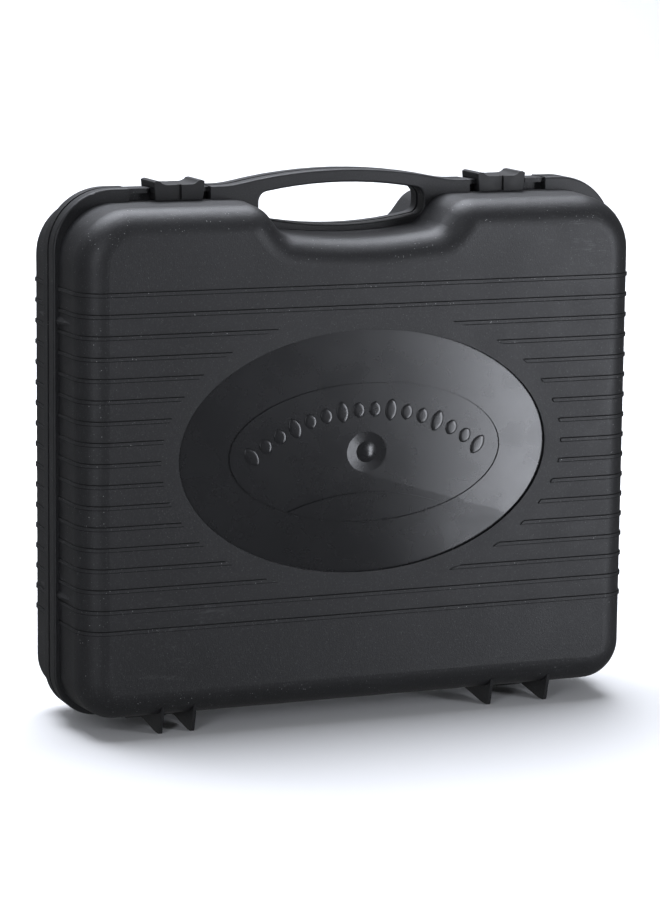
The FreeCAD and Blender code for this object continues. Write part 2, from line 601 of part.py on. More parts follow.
def burner_cap():
    """Flame spreader with radial ports."""
    y0 = -34.0
    cap = rod(33, vec(BURNER_X, y0, BURNER_Z), vec(BURNER_X, -26, BURNER_Z))
    hollow = rod(28, vec(BURNER_X, y0 + 3, BURNER_Z), vec(BURNER_X, -25, BURNER_Z))
    ports = []
    for n in range(24):
        slot = box(24, 40, -29.5, -25, -1, 1)
        slot.rotate(vec(0, 0, 0), vec(0, 1, 0), n * 15)
        slot.translate(vec(BURNER_X, 0, BURNER_Z))
        ports.append(slot)
    dish = rod(20, vec(BURNER_X, y0 - 1, BURNER_Z), vec(BURNER_X, y0 + 1.2, BURNER_Z))
    return cap.cut([hollow, dish] + ports)


def swept(points, radius, bend):
    """A round bar along straight runs joined by tangent arcs of radius bend."""
    edges = []
    start = points[0]
    for before, corner, after in zip(points, points[1:], points[2:]):
        come, go = (before - corner).normalize(), (after - corner).normalize()
        half = come.getAngle(go) / 2
        back = bend / math.tan(half)
        a, b = corner + come * back, corner + go * back
        centre = corner + (come + go).normalize() * (bend / math.sin(half))
        middle = centre + (corner - centre).normalize() * bend
        edges += [line(start, a), arc(a, middle, b)]
        start = b
    edges.append(line(start, points[-1]))
    path = Part.Wire(edges)
    heading = points[1] - points[0]
    profile = Part.Wire([Part.makeCircle(radius, points[0], heading)])
    return path.makePipeShell([profile], True, False)


def mixing_tube():
    route = [vec(-74, 8, TUBE_Z), vec(BURNER_X, 8, TUBE_Z), vec(BURNER_X, 8, BURNER_Z + 18)]
    outer = swept(route, TUBE_R, 30)
    inner = swept(route, TUBE_R - TUBE_WALL, 30)
    return outer.cut(inner)


def gas_jet():
    """Brass jet between the regulator and the mixing tube."""
    body = rod(TUBE_R - TUBE_WALL - 0.2, vec(-88, 8, TUBE_Z), vec(-70, 8, TUBE_Z))
    return join(body, rod(8.5, vec(-85, 8, TUBE_Z), vec(-79, 8, TUBE_Z))).cut(
        rod(0.8, vec(-90, 8, TUBE_Z), vec(-60, 8, TUBE_Z))
    )


def gas_regulator():
    """Die-cast regulator with the cartridge seat, the jet seat and the valve stem's bore."""
    block = box(-132, -88, -8, 24, 252, 280)
    block = block.makeFillet(4, edges_along_y(block, 10))
    seat = rod(9, vec(CARTRIDGE_X, CARTRIDGE_Y, 246), vec(CARTRIDGE_X, CARTRIDGE_Y, 253))
    passage = rod(3, vec(CARTRIDGE_X, CARTRIDGE_Y, 240), vec(CARTRIDGE_X, CARTRIDGE_Y, 266))
    stem = rod(3 + PIN_PLAY, vec(STEM_X, CARTRIDGE_Y, 266), vec(STEM_X, CARTRIDGE_Y, 290))
    dome = rod(13, vec(-118, 24, 266), vec(-118, 29, 266))
    return join(block, seat, dome).cut([passage, stem])


def valve_stem():
    """Stem of the gas valve with the arm that trips the igniter at the end of its turn."""
    stem = rod(3, vec(STEM_X, CARTRIDGE_Y, 266.3), vec(STEM_X, CARTRIDGE_Y, STOVE_Z1 + 12))
    hub = rod(6, vec(STEM_X, CARTRIDGE_Y, 281), vec(STEM_X, CARTRIDGE_Y, 284))
    away_x, away_y = IGNITER_X - STEM_X, IGNITER_Y - CARTRIDGE_Y
    arm = box(0, math.hypot(away_x, away_y), -2.5, 2.5, 281, 284)
    arm.rotate(vec(0, 0, 0), vec(0, 0, 1), math.degrees(math.atan2(away_y, away_x)) - KNOB_TURN)
    arm.translate(vec(STEM_X, CARTRIDGE_Y, 0))
    return join(stem, hub, arm)


def control_knob():
    """Turned knob with a grip bar; it sits on the valve stem."""
    z0, z1 = STOVE_Z1 + 2.0, STOVE_Z1 + 8.0
    disc = rod(19, vec(STEM_X, CARTRIDGE_Y, z0), vec(STEM_X, CARTRIDGE_Y, z1))
    skirt = [e for e in disc.Edges if abs(e.BoundBox.ZMin - z1) < 0.01 and e.BoundBox.XLength > 30]
    disc = disc.makeFillet(1.5, skirt)
    grip = box(STEM_X - 17, STEM_X + 17, CARTRIDGE_Y - 5, CARTRIDGE_Y + 5, z1 - 1, STOVE_Z1 + 19)
    grip = grip.makeFillet(2.5, [e for e in grip.Edges if e.BoundBox.ZMin > z1])
    bore = rod(3, vec(STEM_X, CARTRIDGE_Y, z0 - 1), vec(STEM_X, CARTRIDGE_Y, STOVE_Z1 + 12))
    return join(disc, grip).cut(bore)


def knob_bezel():
    centre = vec(STEM_X, CARTRIDGE_Y, STOVE_Z1)
    return ring(23, 6, centre, centre + vec(0, 0, 1.2))


def cartridge_lever():
    """Locking lever: a finger pad outside the panel, a neck in its slot, a slide plate and a ramp."""
    pad = box(LEVER_X - 9, LEVER_X + 9, -5, 5, STOVE_Z1 + 1.2, STOVE_Z1 + 11)
    pad = pad.makeFillet(2, [e for e in pad.Edges if e.BoundBox.ZMin > STOVE_Z1 + 10])
    neck = box(LEVER_X - 2, LEVER_X + 2, -4, 4, STOVE_Z1 - 3.4, STOVE_Z1 + 3)
    plate = box(LEVER_X - 6, LEVER_X + 6, -10, 10, STOVE_Z1 - 3.4, STOVE_Z1 - SHEET - 0.4)
    high = RAMP_LOW + (RAMP_Y1 - RAMP_Y0) * CLAMP_TRAVEL / LEVER_TRAVEL
    tail = polygon([
        vec(LEVER_X - 2, -4, RAMP_LOW - 1), vec(LEVER_X - 2, RAMP_Y1, RAMP_LOW - 1),
        vec(LEVER_X - 2, RAMP_Y1, RAMP_LOW), vec(LEVER_X - 2, RAMP_Y0, high),
        vec(LEVER_X - 2, RAMP_Y0, STOVE_Z1 - 3), vec(LEVER_X - 2, -4, STOVE_Z1 - 3),
    ]).extrude(vec(4, 0, 0))
    return join(pad, neck, plate, tail)


def cartridge_clamp():
    """Carriage below the cartridge. The ramp lifts its follower, and its heel pushes the cartridge."""
    y0, y1 = 45.2, 46.6
    bed = box(CARTRIDGE_X - 26, CARTRIDGE_X + 26, y0, y1, 48, 238)
    heel = box(CARTRIDGE_X - 20, CARTRIDGE_X + 20, 20, y1, 48, 50)
    arm = box(CARTRIDGE_X + 20, SPRING_X + 5, y0, y1, 224, 236)
    lug = box(SPRING_X - 4, SPRING_X + 4, SPRING_Y - 4, y1, SPRING_Z0 - 2, SPRING_Z0)
    slope = math.atan2(CLAMP_TRAVEL, LEVER_TRAVEL)
    follower_z = RAMP_LOW + (RAMP_Y1 - FOLLOWER_Y) * math.tan(slope) + FOLLOWER_R / math.cos(slope) + 0.3
    post = box(-67, -65, FOLLOWER_Y - 2, y1, 224, follower_z + 2)
    follower = rod(FOLLOWER_R, vec(-66, FOLLOWER_Y, follower_z), vec(LEVER_X + 2, FOLLOWER_Y, follower_z))
    return join(bed, heel, arm, lug, post, follower)


def clamp_spring():
    """Coil that returns the carriage; it bears on the carriage's lug and on a lug of the base plate."""
    clear = SPRING_WIRE + 0.05
    height = SPRING_Z1 - SPRING_Z0 - 2 * clear
    helix = Part.makeHelix(height / 6, height, SPRING_R)
    wire = Part.Wire([Part.makeCircle(SPRING_WIRE, vec(SPRING_R, 0, 0), vec(0, 1, 0))])
    coil = Part.Wire(helix.Edges).makePipeShell([wire], True, True)
    coil.translate(vec(SPRING_X, SPRING_Y, SPRING_Z0 + clear))
    return coil


def cartridge_tray():
    """Curved cradle that the cartridge lies in."""
    start, end = vec(CARTRIDGE_X, CARTRIDGE_Y, 62), vec(CARTRIDGE_X, CARTRIDGE_Y, 240)
    pipe = ring(CARTRIDGE_R + 2 + SHEET, CARTRIDGE_R + 2, start, end)
    cradle = pipe.common(box(-160, -79, CARTRIDGE_Y + 14, 44.6, 0, 300))
    start, end = vec(CARTRIDGE_X, CARTRIDGE_Y, 240), vec(CARTRIDGE_X, CARTRIDGE_Y, 241.2)
    collar = ring(CARTRIDGE_R + 2 + SHEET, 14, start, end)
    return join(cradle, collar.common(box(-160, -79, CARTRIDGE_Y, 44.6, 0, 300)))


def partition_plate():
    """Heat shield between the burner and the cartridge."""
    plate = box(-73, -72, STOVE_TOP + 1.5, 44, STOVE_Z0 + 3, 284)
    tube_hole = rod(TUBE_R + 2, vec(-80, 8, TUBE_Z), vec(-60, 8, TUBE_Z))
    y, z = LEAD_HOLE
    return plate.cut([tube_hole, rod(4, vec(-80, y, z), vec(-60, y, z))])


def cover_section(chord_half, rise, offset):
    """Bulged section of the cartridge cover in the XY plane at its lower end."""
    x = CARTRIDGE_X
    y0 = STOVE_TOP - SHEET - 0.2
    z = 36.0 + offset
    left, right = vec(x - chord_half, y0, z), vec(x + chord_half, y0, z)
    return face_of([line(left, right), arc(right, vec(x, y0 - rise, z), left)])


def cartridge_cover():
    """Bulged hinged cover over the cartridge bay, with its hinge knuckles at the outer side."""
    outer = cover_section(44.5, 10, 0).extrude(vec(0, 0, 248))
    inner = cover_section(43.5, 9, SHEET).extrude(vec(0, 0, 248 - 2 * SHEET))
    inner.translate(vec(0, 0.2, 0))
    edge = STOVE_TOP - SHEET - 0.2
    eyes = []
    for z in (60, 240):
        tab = box(COVER_PIN_X, COVER_PIN_X + 4, edge - 0.9, edge, z, z + 20)
        eyes.append(join(cover_axis(2.2, z, z + 20), tab))
    return join(outer.cut(inner), *eyes).cut(cover_axis(COVER_PIN_R + PIN_PLAY, 50, 270))


def cover_hinge_pin():
    return cover_axis(COVER_PIN_R, 58, 262)


def base_plate():
    """Pressed plate that closes the stove's underside."""
    gap = SHEET + 0.2
    plate = face_of(rounded_outline(
        -STOVE_X + gap, STOVE_X - gap, STOVE_Z0 + gap, STOVE_Z1 - gap,
        STOVE_CORNER_R - gap, STOVE_UNDER - SHEET
    )).extrude(vec(0, SHEET, 0))
    holes = [rod(2.1, vec(x, 30, z), vec(x, 60, z)) for x, z in SCREWS]
    lug = box(SPRING_X - 4, SPRING_X + 4, SPRING_Y - 4, STOVE_UNDER, SPRING_Z1, SPRING_Z1 + 2)
    return join(plate.cut(holes), lug)


FEET = [(-140, 48), (140, 48), (-140, 268), (140, 268)]
SCREWS = [(-158, 70), (158, 70), (-158, 248), (158, 248), (0, 38), (0, 278)]


def stove_feet():
    return Part.makeCompound([
        rod(9, vec(x, STOVE_UNDER, z), vec(x, STOVE_UNDER + 4.4, z)) for x, z in FEET
    ])


def body_screws():
    screws = []
    for x, z in SCREWS:
        head = rod(3.8, vec(x, STOVE_UNDER, z), vec(x, STOVE_UNDER + 2, z))
        slot = box(x - 5, x + 5, STOVE_UNDER + 1.2, STOVE_UNDER + 3, z - 0.5, z + 0.5)
        screws.append(join(head.cut(slot), rod(2, vec(x, STOVE_UNDER - 9, z), vec(x, STOVE_UNDER, z))))
    return Part.makeCompound(screws)


def piezo_igniter():
    body = box(IGNITER_X - 6.5, IGNITER_X + 6.5, IGNITER_Y - 5.5, IGNITER_Y + 6, 244, 270)
    bore = rod(2.5 + PIN_PLAY, vec(IGNITER_X, IGNITER_Y, 258), vec(IGNITER_X, IGNITER_Y, 271))
    return body.cut(bore)


def igniter_plunger():
    return rod(2.5, vec(IGNITER_X, IGNITER_Y, 264), vec(IGNITER_X, IGNITER_Y, 280))


def ignition_lead():
    """Lead from the igniter, through the partition, to the spark electrode."""
    y, z = LEAD_HOLE
    route = [
        vec(-84, 31, 244), vec(-84, 31, 222), vec(-73, y, z), vec(-50, 40, 204), vec(20, 40, 200),
        vec(75, 30, 184), vec(91, 12, 154)
    ]
    return swept(route, 1.1, 12)


def spark_electrode():
    """Ceramic-clad electrode whose wire tip bends towards the burner's ports."""
    ceramic = rod(2.6, vec(91, 10, 154), vec(91, -18, 154))
    tip = rod(0.8, vec(91, -18, 154), vec(86, -29, 154))
    return join(ceramic, tip, Part.makeSphere(0.8, vec(86, -29, 154)))


def parts():
    """Every sub-part by the name of its node."""
    return {
        "case_lid_shell": case_lid_shell(),
        "case_base_shell": case_base_shell(),
        "hinge_pin_left": hinge_pin(-1),
        "hinge_pin_right": hinge_pin(1),
        "latch_slider_left": latch_slider(-1),
        "latch_slider_right": latch_slider(1),
        "stove_housing": stove_housing(),
        "top_plate": top_plate(),
        "base_plate": base_plate(),
        "stove_feet": stove_feet(),
        "body_screws": body_screws(),
        "partition_plate": partition_plate(),
        "pan_support": pan_support(),
        "burner_body": burner_body(),
        "burner_cap": burner_cap(),
        "mixing_tube": mixing_tube(),
        "gas_jet": gas_jet(),
        "gas_regulator": gas_regulator(),
        "valve_stem": valve_stem(),
        "control_knob": control_knob(),
        "knob_bezel": knob_bezel(),
        "cartridge_lever": cartridge_lever(),
        "cartridge_clamp": cartridge_clamp(),
        "cartridge_tray": cartridge_tray(),
        "cartridge_cover": cartridge_cover(),
        "cover_hinge_pin": cover_hinge_pin(),
        "clamp_spring": clamp_spring(),
        "piezo_igniter": piezo_igniter(),
        "igniter_plunger": igniter_plunger(),
        "ignition_lead": ignition_lead(),
        "spark_electrode": spark_electrode(),
    }


def main():
    os.makedirs("parts", exist_ok=True)
    for name, shape in parts().items():
        solids = shape.Solids
        state = "valid" if shape.isValid() else "NOT VALID"
        print(f"{name}: {len(solids)} solid(s), {shape.Volume / 1000:.1f} cm3, {state}")
        shape.exportStep(f"parts/{name}.step")


main()
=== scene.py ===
"""Looks for the camping stove in its carrying case: materials, surface detail, light and camera, in metres."""

import json
import math

import bpy
from mathutils import Matrix, Vector


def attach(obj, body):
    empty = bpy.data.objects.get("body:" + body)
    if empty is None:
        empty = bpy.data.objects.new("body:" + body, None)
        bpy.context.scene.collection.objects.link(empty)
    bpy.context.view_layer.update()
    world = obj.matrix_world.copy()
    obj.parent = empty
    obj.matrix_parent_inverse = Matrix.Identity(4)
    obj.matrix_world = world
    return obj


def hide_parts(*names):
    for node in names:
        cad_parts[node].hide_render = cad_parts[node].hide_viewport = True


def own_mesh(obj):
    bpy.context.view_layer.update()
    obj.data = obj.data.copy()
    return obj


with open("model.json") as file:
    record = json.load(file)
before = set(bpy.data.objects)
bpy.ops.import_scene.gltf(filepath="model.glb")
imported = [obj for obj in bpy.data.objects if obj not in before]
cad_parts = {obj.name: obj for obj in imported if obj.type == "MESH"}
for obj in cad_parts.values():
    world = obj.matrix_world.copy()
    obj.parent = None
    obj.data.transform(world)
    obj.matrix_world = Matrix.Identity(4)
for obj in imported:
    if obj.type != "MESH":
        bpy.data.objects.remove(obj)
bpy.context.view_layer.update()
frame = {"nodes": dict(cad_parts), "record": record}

scene = bpy.context.scene
nodes = frame["nodes"]
SLOT_OF = {entry["node"]: entry["material_slot"] for entry in frame["record"]["subparts"]}

# ---- Camera: from the left of the front, a little above the case ----
CAMERA_AT = Vector((-0.8548, -2.0805, 0.5540))
CAMERA_LOOKS = Vector((0.37377, 0.91207, -0.16858))
CAMERA_ROLL = math.radians(0.602)
CAMERA_LENS = 138.75

# ---- Oval emblem on the lid ----
EMBLEM_Z = 0.1774
EMBLEM_A, EMBLEM_B = 0.1275, 0.0790
DOME_FRONT, DOME_SAG = -0.0570, 0.0038     # depth plane of the dome's middle, and its drop to the rim
RIB_PITCH = 0.0134
RIB_CLEAR = 0.0117                         # plain margin between the oval and the ribs' ends
RIB_HALF = 0.00125                         # half a rib's width
RIB_ROWS = 8.3                             # the ribs' field, in pitches either side of the oval's middle
FLANGE_HALF = 0.0112                       # half the depth of the plain band at the seam
FRONT_FACE = -0.050                        # everything in front of this is the lid's face
SCUFFS = (((0.150, 0.318), 0.045), ((-0.120, 0.060), 0.050))    # rubbed places on the face, and their size

# ---- Row of raised marks in the oval ----
MARK_COUNT, MARK_SPREAD = 16, 76.0
MARK_R, MARK_CENTRE_Z = 0.1275, 0.0775
MARK_TALL, MARK_WIDE = 0.0145, 0.0084

# ---- Light ----
ROOM_LIGHT = 0.145
COOL = (0.93, 0.96, 1.04)                  # the lamps' tint


def add_camera():
    """The scene's camera, with a slight roll."""
    data = bpy.data.cameras.new("camera")
    data.lens = CAMERA_LENS
    data.sensor_width = 36.0
    data.clip_start, data.clip_end = 0.05, 50.0
    camera = bpy.data.objects.new("camera", data)
    scene.collection.objects.link(camera)
    look = CAMERA_LOOKS.to_track_quat("-Z", "Y").to_matrix()
    turn = Matrix.Rotation(CAMERA_ROLL, 3, "Z")
    camera.matrix_world = Matrix.Translation(CAMERA_AT) @ (look @ turn).to_4x4()
    scene.camera = camera


def add_area(name, at, towards, size, power):
    """A soft box, which the camera doesn't see."""
    data = bpy.data.lights.new(name, "AREA")
    data.shape = "RECTANGLE"
    data.size, data.size_y = size
    data.energy = power
    data.color = COOL
    lamp = bpy.data.objects.new(name, data)
    lamp.location = at
    lamp.rotation_mode = "QUATERNION"
    lamp.rotation_quaternion = (Vector(towards) - Vector(at)).to_track_quat("-Z", "Y")
    lamp.visible_camera = False
    scene.collection.objects.link(lamp)


# ---- Shader helpers ----
class Shader:
    """A small wrapper that adds nodes to one material and joins them."""

    def __init__(self, name):
        self.material = bpy.data.materials.new(name)
        self.material.use_nodes = True
        self.tree = self.material.node_tree
        self.tree.nodes.clear()
        self.output = self.add("ShaderNodeOutputMaterial")
        self.surface = self.add("ShaderNodeBsdfPrincipled")
        self.join(self.surface.outputs[0], self.output.inputs["Surface"])
        self.place = self.add("ShaderNodeTexCoord").outputs["Object"]

    def add(self, kind, **settings):
        node = self.tree.nodes.new(kind)
        for key, value in settings.items():
            setattr(node, key, value)
        return node

    def join(self, out, into):
        self.tree.links.new(out, into)

    def put(self, value, into):
        """Sets an input to a constant, or joins it to an output."""
        if isinstance(value, bpy.types.NodeSocket):
            self.join(value, into)
        else:
            into.default_value = value

    def noise(self, scale, detail=2.0, rough=0.5, at=None):
        node = self.add("ShaderNodeTexNoise")
        self.join(at or self.place, node.inputs["Vector"])
        node.inputs["Scale"].default_value = scale
        node.inputs["Detail"].default_value = detail
        node.inputs["Roughness"].default_value = rough
        return node.outputs["Fac"]

    def cells(self, scale):
        node = self.add("ShaderNodeTexVoronoi")
        self.join(self.place, node.inputs["Vector"])
        node.inputs["Scale"].default_value = scale
        return node

    def ramp(self, value, low, high, to_low=0.0, to_high=1.0):
        node = self.add("ShaderNodeMapRange")
        self.put(value, node.inputs["Value"])
        node.inputs["From Min"].default_value = low
        node.inputs["From Max"].default_value = high
        node.inputs["To Min"].default_value = to_low
        node.inputs["To Max"].default_value = to_high
        return node.outputs["Result"]

    def smooth(self, value, low, high, to_low=0.0, to_high=1.0):
        out = self.ramp(value, low, high, to_low, to_high)
        out.node.interpolation_type = "SMOOTHSTEP"
        return out

    def maths(self, operation, first, second=0.0):
        node = self.add("ShaderNodeMath", operation=operation)
        for value, into in zip((first, second), node.inputs):
            self.put(value, into)
        return node.outputs[0]

    def mix(self, factor, first, second):
        """Mixes two colours, each an (r, g, b) or an output."""
        node = self.add("ShaderNodeMix", data_type="RGBA")
        self.put(factor, node.inputs["Factor"])
        for value, into in ((first, node.inputs["A"]), (second, node.inputs["B"])):
            self.put((*value, 1.0) if isinstance(value, tuple) else value, into)
        return node.outputs["Result"]

    def bump(self, height, strength, distance, under=None):
        node = self.add("ShaderNodeBump")
        self.put(height, node.inputs["Height"])
        node.inputs["Strength"].default_value = strength
        node.inputs["Distance"].default_value = distance
        if under is not None:
            self.join(under, node.inputs["Normal"])
        return node.outputs["Normal"]

    def axes(self):
        node = self.add("ShaderNodeSeparateXYZ")
        self.join(self.place, node.inputs[0])
        return node.outputs

    def stretch(self, x, y, z):
        """The place, scaled along each axis, for streaks."""
        node = self.add("ShaderNodeMapping")
        self.join(self.place, node.inputs["Vector"])
        node.inputs["Scale"].default_value = (x, y, z)
        return node.outputs["Vector"]

    def finish(self, colour, roughness, normal=None, metallic=0.0, specular=0.5):
        self.put((*colour, 1.0) if isinstance(colour, tuple) else colour, self.surface.inputs["Base Color"])
        self.put(roughness, self.surface.inputs["Roughness"])
        self.put(metallic, self.surface.inputs["Metallic"])
        self.put(specular, self.surface.inputs["Specular IOR Level"])
        if normal is not None:
            self.join(normal, self.surface.inputs["Normal"])
        return self.material


def rib_crease_shade(s, y, z, reach):
    """1 in the two thin corners beside each rib of the case, 0 elsewhere: the mask of the painted shade in
    those creases.
    """
    step = s.maths("DIVIDE", s.maths("SUBTRACT", z, EMBLEM_Z), RIB_PITCH)
    off = s.maths("ABSOLUTE", s.maths("SUBTRACT", step, s.maths("ROUND", step)))
    gap = s.maths("ABSOLUTE", s.maths("SUBTRACT", s.maths("MULTIPLY", off, RIB_PITCH), RIB_HALF))
    line = s.smooth(gap, 0.00010, 0.00042, 1.0, 0.0)
    field = s.maths("LESS_THAN", s.maths("ABSOLUTE", step), RIB_ROWS)
    back_half = s.maths("GREATER_THAN", y, 0.0)
    outside = s.maths("GREATER_THAN", s.maths("ADD", reach, s.maths("MULTIPLY", back_half, 9.0)), 1.0)
    deep = s.maths("GREATER_THAN", s.maths("ABSOLUTE", y), FLANGE_HALF)
    return s.maths("MULTIPLY", s.maths("MULTIPLY", line, field), s.maths("MULTIPLY", outside, deep))


def oval_reach(s, x, z, grow):
    """Distance from the oval's centre as a share of the oval grown by grow."""
    across = s.maths("DIVIDE", x, EMBLEM_A + grow)
    up = s.maths("DIVIDE", s.maths("SUBTRACT", z, EMBLEM_Z), EMBLEM_B + grow)
    return s.maths("SQRT", s.maths("ADD", s.maths("POWER", across, 2.0), s.maths("POWER", up, 2.0)))


def patch(s, x, z, at, size):
    """A soft round patch on the front, 1 in its middle."""
    dx = s.maths("DIVIDE", s.maths("SUBTRACT", x, at[0]), size)
    dz = s.maths("DIVIDE", s.maths("SUBTRACT", z, at[1]), size)
    away = s.maths("SQRT", s.maths("ADD", s.maths("POWER", dx, 2.0), s.maths("POWER", dz, 2.0)))
    return s.smooth(away, 0.3, 1.0, 1.0, 0.0)


def case_plastic():
    """Black grained polypropylene: fine pits, tiny pale dust specks, faint rubs, painted shade in the creases
    beside the ribs, and a smooth oval.
    """
    s = Shader("case_plastic")
    x, y, z = s.axes()
    front = s.maths("LESS_THAN", y, FRONT_FACE)
    in_oval = s.maths("MULTIPLY", front, s.maths("LESS_THAN", oval_reach(s, x, z, 0.0), 1.0))
    grained = s.maths("SUBTRACT", 1.0, in_oval)

    patches = s.noise(9.0, 3.0)
    cloud = s.noise(45.0, 4.0, 0.6)
    colour = s.mix(s.ramp(patches, 0.3, 0.7), (0.0082, 0.0083, 0.0092), (0.0120, 0.0121, 0.0133))
    haze = s.maths("MULTIPLY", s.smooth(cloud, 0.55, 0.85, 0.0, 0.30), grained)
    colour = s.mix(haze, colour, (0.021, 0.021, 0.022))
    fleck = s.smooth(s.noise(1100.0, 2.0, 0.7), 0.52, 0.70, 0.0, 0.55)
    colour = s.mix(s.maths("MULTIPLY", fleck, grained), colour, (0.034, 0.034, 0.036))

    streaks = s.noise(1.0, 4.0, 0.7, at=s.stretch(55.0, 900.0, 260.0))
    rubs = s.maths("ADD", patch(s, x, z, *SCUFFS[0]), patch(s, x, z, *SCUFFS[1]))
    rubs = s.maths("MULTIPLY", s.maths("MULTIPLY", rubs, front), s.smooth(streaks, 0.56, 0.72))
    colour = s.mix(s.maths("MULTIPLY", rubs, 0.5), colour, (0.060, 0.060, 0.062))

    speck = s.cells(520.0)
    rare = s.maths("GREATER_THAN", s.noise(60.0, 1.0), 0.54)
    chosen = s.maths("GREATER_THAN", speck.outputs["Color"], 0.66)
    dot = s.maths("LESS_THAN", speck.outputs["Distance"], 0.15)
    dust = s.maths("MULTIPLY", s.maths("MULTIPLY", dot, rare), chosen)
    fine = s.cells(1150.0)
    fine_dot = s.maths("LESS_THAN", fine.outputs["Distance"], 0.24)
    faint = s.maths("MULTIPLY", fine_dot, s.maths("GREATER_THAN", fine.outputs["Color"], 0.84))
    dust = s.maths("MULTIPLY", s.maths("MAXIMUM", dust, s.maths("MULTIPLY", faint, 0.45)), grained)
    colour = s.mix(s.maths("MULTIPLY", dust, 0.62), colour, (0.30, 0.30, 0.30))

    # Painted shade: the thin creases beside each rib are darkened nearly to black. The same mask also makes
    # them rougher.
    crease_shade = rib_crease_shade(s, y, z, oval_reach(s, x, z, RIB_CLEAR))
    colour = s.mix(s.maths("MULTIPLY", crease_shade, 0.9), colour, (0.001, 0.001, 0.001))

    grain = s.noise(1500.0, 2.0, 0.6)
    pits = s.cells(900.0).outputs["Distance"]
    normal = s.bump(s.maths("MULTIPLY", grain, grained), 0.25, 0.00035)
    normal = s.bump(s.maths("MULTIPLY", pits, grained), 0.12, 0.0003, normal)
    normal = s.bump(s.noise(16.0, 1.0), 0.08, 0.0015, normal)
    rough = s.maths("ADD", s.ramp(cloud, 0.3, 0.7, 0.47, 0.52), s.ramp(grained, 0.0, 1.0, -0.22, 0.0))
    rough = s.maths("ADD", rough, s.maths("MULTIPLY", crease_shade, 0.45))
    return s.finish(colour, rough, normal, specular=0.48)


def smooth_plastic(name, shade, rough):
    """Smooth moulded plastic with faint flow marks and handling marks."""
    s = Shader(name)
    flow = s.noise(60.0, 3.0, 0.6)
    fine = s.noise(900.0, 2.0)
    colour = s.mix(s.ramp(flow, 0.3, 0.7), tuple(c * 0.8 for c in shade), tuple(c * 1.2 for c in shade))
    normal = s.bump(fine, 0.12, 0.0002)
    normal = s.bump(s.noise(120.0, 1.0), 0.12, 0.0006, normal)
    return s.finish(colour, s.ramp(flow, 0.3, 0.7, rough - 0.06, rough + 0.08), normal, specular=0.45)


def brushed_metal(name, shade, rough, along):
    """Sheet or drawn metal with fine lines along one axis and a little tarnish."""
    s = Shader(name)
    scale = [900.0, 900.0, 900.0]
    scale[along] = 12.0
    lines = s.noise(1.0, 3.0, 0.6, at=s.stretch(*scale))
    tarnish = s.noise(30.0, 4.0, 0.6)
    colour = s.mix(s.ramp(tarnish, 0.35, 0.75), shade, tuple(c * 0.62 for c in shade))
    dulled = s.ramp(tarnish, 0.3, 0.7, rough, rough + 0.1)
    roughness = s.maths("ADD", s.ramp(lines, 0.3, 0.7, -0.06, 0.10), dulled)
    return s.finish(colour, roughness, s.bump(lines, 0.15, 0.0001), metallic=1.0)


def cast_metal(name, shade, rough, metallic):
    """Sand or die cast metal with a pebbled skin."""
    s = Shader(name)
    pebble = s.noise(700.0, 3.0, 0.65)
    stain = s.noise(25.0, 4.0, 0.6)
    colour = s.mix(s.ramp(stain, 0.3, 0.75), shade, tuple(c * 0.7 for c in shade))
    return s.finish(colour, s.ramp(pebble, 0.3, 0.7, rough - 0.08, rough + 0.1),
                    s.bump(pebble, 0.5, 0.0002), metallic=metallic)


def enamel(name, shade, rough):
    """Baked enamel with orange peel."""
    s = Shader(name)
    peel = s.noise(260.0, 1.0)
    wear = s.noise(18.0, 5.0, 0.65)
    colour = s.mix(s.smooth(wear, 0.55, 0.8, 0.0, 0.5), shade, tuple(min(1.0, c * 1.7 + 0.01) for c in shade))
    return s.finish(colour, s.ramp(wear, 0.3, 0.7, rough - 0.05, rough + 0.1), s.bump(peel, 0.12, 0.0003))


def rubber(name, shade):
    """Soft dull rubber with a pale bloom."""
    s = Shader(name)
    bloom = s.noise(80.0, 4.0, 0.6)
    colour = s.mix(s.ramp(bloom, 0.35, 0.75), shade, tuple(c * 1.6 + 0.01 for c in shade))
    skin = s.bump(s.noise(1200.0), 0.3, 0.0002)
    return s.finish(colour, s.ramp(bloom, 0.3, 0.7, 0.65, 0.8), skin, specular=0.3)


def ceramic():
    """Off-white glazed ceramic."""
    s = Shader("ceramic")
    glaze = s.noise(90.0, 3.0)
    colour = s.mix(s.ramp(glaze, 0.3, 0.7), (0.78, 0.76, 0.70), (0.86, 0.85, 0.80))
    return s.finish(colour, s.ramp(glaze, 0.3, 0.7, 0.18, 0.3), s.bump(glaze, 0.1, 0.0003))


